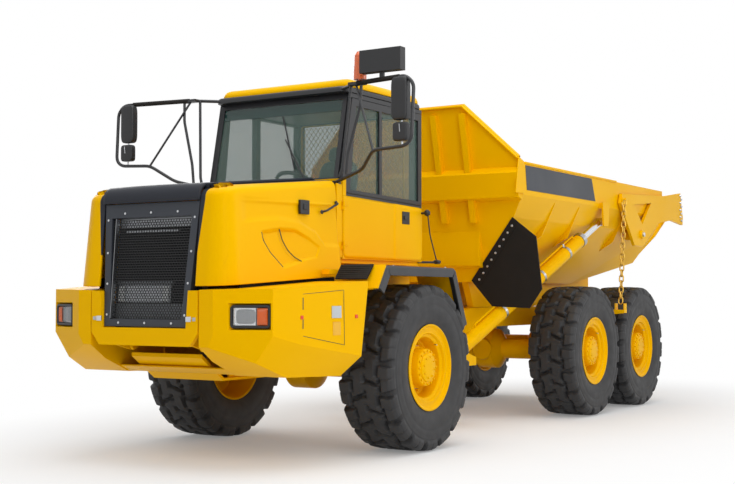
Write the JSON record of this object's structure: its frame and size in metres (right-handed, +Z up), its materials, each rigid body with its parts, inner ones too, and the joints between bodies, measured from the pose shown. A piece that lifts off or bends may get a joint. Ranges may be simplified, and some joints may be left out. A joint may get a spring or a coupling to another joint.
{
  "type": "articulated dump truck",
  "caption": "Articulated dump truck with a hinged hood, cab, tipping load bin, chain-lifted tailgate and wide single tyres.",
  "frame": {"origin": "on the ground, midway along the truck's length and on its centre plane", "axes": "+Z up, the truck faces -Y, its left side is +X"},
  "size_m": [3.5736, 10.14, 3.7708],
  "materials": {
    "yellow": "gloss",
    "slate": "satin",
    "black_plastic": "matte",
    "black_rubber": "matte",
    "tyre": "matte",
    "bare_steel": "polished",
    "dark_steel": "satin",
    "seat_fabric": "woven",
    "clear_glass": "clear",
    "lamp_glass": "clear",
    "amber_lens": "gloss"
  },
  "bodies": {
    "front_frame": {"front_chassis": "yellow", "belly_guard": "yellow", "engine": "slate", "gearbox": "slate", "radiator": "dark_steel", "front_axle": "yellow", "side_boxes": "yellow", "headlamps": "lamp_glass", "deck": "slate", "front_fenders": "slate", "cab_lower": "yellow", "cab_frame": "slate", "cab_roof": "yellow", "cab_glass": "clear_glass", "operator_seat": "seat_fabric", "dashboard": "black_plastic", "window_guard": "yellow", "mirrors": "black_plastic", "lamp_box": "black_plastic", "beacon": "amber_lens"},
    "hood_body": {"hood": "yellow"},
    "front_panel": {"bumper_panel": "yellow", "grille_frame": "slate", "grille_mesh": "dark_steel"},
    "cab_door": {"door_panel": "yellow", "door_window_frame": "slate", "door_glass": "clear_glass"},
    "yaw_block": {"hitch": "yellow"},
    "rear_frame": {"rear_chassis": "yellow", "rear_axles": "yellow", "walking_beams": "yellow"},
    "load_bin": {"bin_body": "yellow", "mud_flaps": "black_rubber"},
    "gate": {"tailgate": "yellow"},
    "chains": {"gate_chains": "bare_steel"},
    "hoist_tube_left": {"hoist_barrel_left": "yellow"},
    "hoist_shaft_left": {"hoist_rod_left": "bare_steel"},
    "steer_tube_left": {"steering_barrel_left": "yellow"},
    "steer_shaft_left": {"steering_rod_left": "bare_steel"},
    "hoist_tube_right": {"hoist_barrel_right": "yellow"},
    "hoist_shaft_right": {"hoist_rod_right": "bare_steel"},
    "steer_tube_right": {"steering_barrel_right": "yellow"},
    "steer_shaft_right": {"steering_rod_right": "bare_steel"},
    "wheel_front_left": {"tyre_front_left": "tyre", "rim_front_left": "yellow"},
    "wheel_front_right": {"tyre_front_right": "tyre", "rim_front_right": "yellow"},
    "wheel_mid_left": {"tyre_mid_left": "tyre", "rim_mid_left": "yellow"},
    "wheel_mid_right": {"tyre_mid_right": "tyre", "rim_mid_right": "yellow"},
    "wheel_rear_left": {"tyre_rear_left": "tyre", "rim_rear_left": "yellow"},
    "wheel_rear_right": {"tyre_rear_right": "tyre", "rim_rear_right": "yellow"}
  },
  "joints": [
    {"name": "hood_lift", "type": "hinge", "parent": "front_frame", "child": "hood_body", "pos_m": [0, -5.035, 1.535], "axis": [1, 0, 0], "range_deg": [0, 55]},
    {"name": "front_panel_fold", "type": "hinge", "parent": "front_frame", "child": "front_panel", "pos_m": [0, -4.74, 1.04], "axis": [1, 0, 0], "range_deg": [0, 90]},
    {"name": "cab_door_swing", "type": "hinge", "parent": "front_frame", "child": "cab_door", "pos_m": [0.824, -3.193, 2.6], "axis": [0, 0, -1], "range_deg": [0, 80]},
    {"name": "steer_yaw", "type": "hinge", "parent": "front_frame", "child": "yaw_block", "pos_m": [0, -1.32, 1], "axis": [0, 0, 1], "range_deg": [-42, 42]},
    {"name": "frame_roll", "type": "hinge", "parent": "yaw_block", "child": "rear_frame", "pos_m": [0, -0.92, 1], "axis": [0, 1, 0], "range_deg": [-12, 12]},
    {"name": "bin_tip", "type": "hinge", "parent": "rear_frame", "child": "load_bin", "pos_m": [0, 3.58, 1.45], "axis": [-1, 0, 0], "range_deg": [0, 70]},
    {"name": "gate_swing", "type": "hinge", "parent": "load_bin", "child": "gate", "pos_m": [0, 3.264, 2.308], "axis": [1, 0, 0], "range_deg": [0, 88.8]},
    {"name": "chain_swing", "type": "hinge", "parent": "gate", "child": "chains", "pos_m": [0, 2.565, 2.745], "axis": [-1, 0, 0], "range_deg": [0, 63.5]},
    {"name": "hoist_swing_left", "type": "hinge", "parent": "rear_frame", "child": "hoist_tube_left", "pos_m": [0.74, -0.77, 0.85], "axis": [-0.4768, -0.3543, 0.8044], "range_deg": [0, 5]},
    {"name": "hoist_slide_left", "type": "slide", "parent": "hoist_tube_left", "child": "hoist_shaft_left", "axis": [0.1877, 0.853, 0.487], "range_m": [0, 2.12]},
    {"name": "steer_swing_left", "type": "hinge", "parent": "front_frame", "child": "steer_tube_left", "pos_m": [0.56, -2.19, 0.93], "axis": [0, 0, 1], "range_deg": [-3.7, 3.7]},
    {"name": "steer_slide_left", "type": "slide", "parent": "steer_tube_left", "child": "steer_shaft_left", "axis": [-0.2361, 0.9717, 0], "range_m": [-0.235, 0.235]},
    {"name": "hoist_swing_right", "type": "hinge", "parent": "rear_frame", "child": "hoist_tube_right", "pos_m": [-0.74, -0.77, 0.85], "axis": [-0.4768, 0.3543, -0.8044], "range_deg": [0, 5]},
    {"name": "hoist_slide_right", "type": "slide", "parent": "hoist_tube_right", "child": "hoist_shaft_right", "axis": [-0.1877, 0.853, 0.487], "range_m": [0, 2.12]},
    {"name": "steer_swing_right", "type": "hinge", "parent": "front_frame", "child": "steer_tube_right", "pos_m": [-0.56, -2.19, 0.93], "axis": [0, 0, 1], "range_deg": [-3.7, 3.7]},
    {"name": "steer_slide_right", "type": "slide", "parent": "steer_tube_right", "child": "steer_shaft_right", "axis": [0.2361, 0.9717, 0], "range_m": [-0.235, 0.235]},
    {"name": "wheel_turn_front_left", "type": "hinge", "parent": "front_frame", "child": "wheel_front_left", "pos_m": [1.1725, -2.62, 0.798], "axis": [1, 0, 0], "continuous": true},
    {"name": "wheel_turn_front_right", "type": "hinge", "parent": "front_frame", "child": "wheel_front_right", "pos_m": [-1.1725, -2.62, 0.798], "axis": [1, 0, 0], "continuous": true},
    {"name": "wheel_turn_mid_left", "type": "hinge", "parent": "rear_frame", "child": "wheel_mid_left", "pos_m": [1.1725, 1.561, 0.798], "axis": [1, 0, 0], "continuous": true},
    {"name": "wheel_turn_mid_right", "type": "hinge", "parent": "rear_frame", "child": "wheel_mid_right", "pos_m": [-1.1725, 1.561, 0.798], "axis": [1, 0, 0], "continuous": true},
    {"name": "wheel_turn_rear_left", "type": "hinge", "parent": "rear_frame", "child": "wheel_rear_left", "pos_m": [1.1725, 3.231, 0.798], "axis": [1, 0, 0], "continuous": true},
    {"name": "wheel_turn_rear_right", "type": "hinge", "parent": "rear_frame", "child": "wheel_rear_right", "pos_m": [-1.1725, 3.231, 0.798], "axis": [1, 0, 0], "continuous": true}
  ],
  "couplings": [
    {"joint": "gate_swing", "follows": "bin_tip", "ratio": 1.2671},
    {"joint": "chain_swing", "follows": "bin_tip", "ratio": 0.90571},
    {"joint": "hoist_swing_left", "follows": "bin_tip", "ratio": 0.07032},
    {"joint": "hoist_slide_left", "follows": "bin_tip", "m_per_rad": 1.7325},
    {"joint": "steer_swing_left", "follows": "steer_yaw", "ratio": 0.0852},
    {"joint": "steer_slide_left", "follows": "steer_yaw", "m_per_rad": 0.3167},
    {"joint": "hoist_swing_right", "follows": "bin_tip", "ratio": 0.07032},
    {"joint": "hoist_slide_right", "follows": "bin_tip", "m_per_rad": 1.7325},
    {"joint": "steer_swing_right", "follows": "steer_yaw", "ratio": 0.0852},
    {"joint": "steer_slide_right", "follows": "steer_yaw", "m_per_rad": -0.3167}
  ]
}
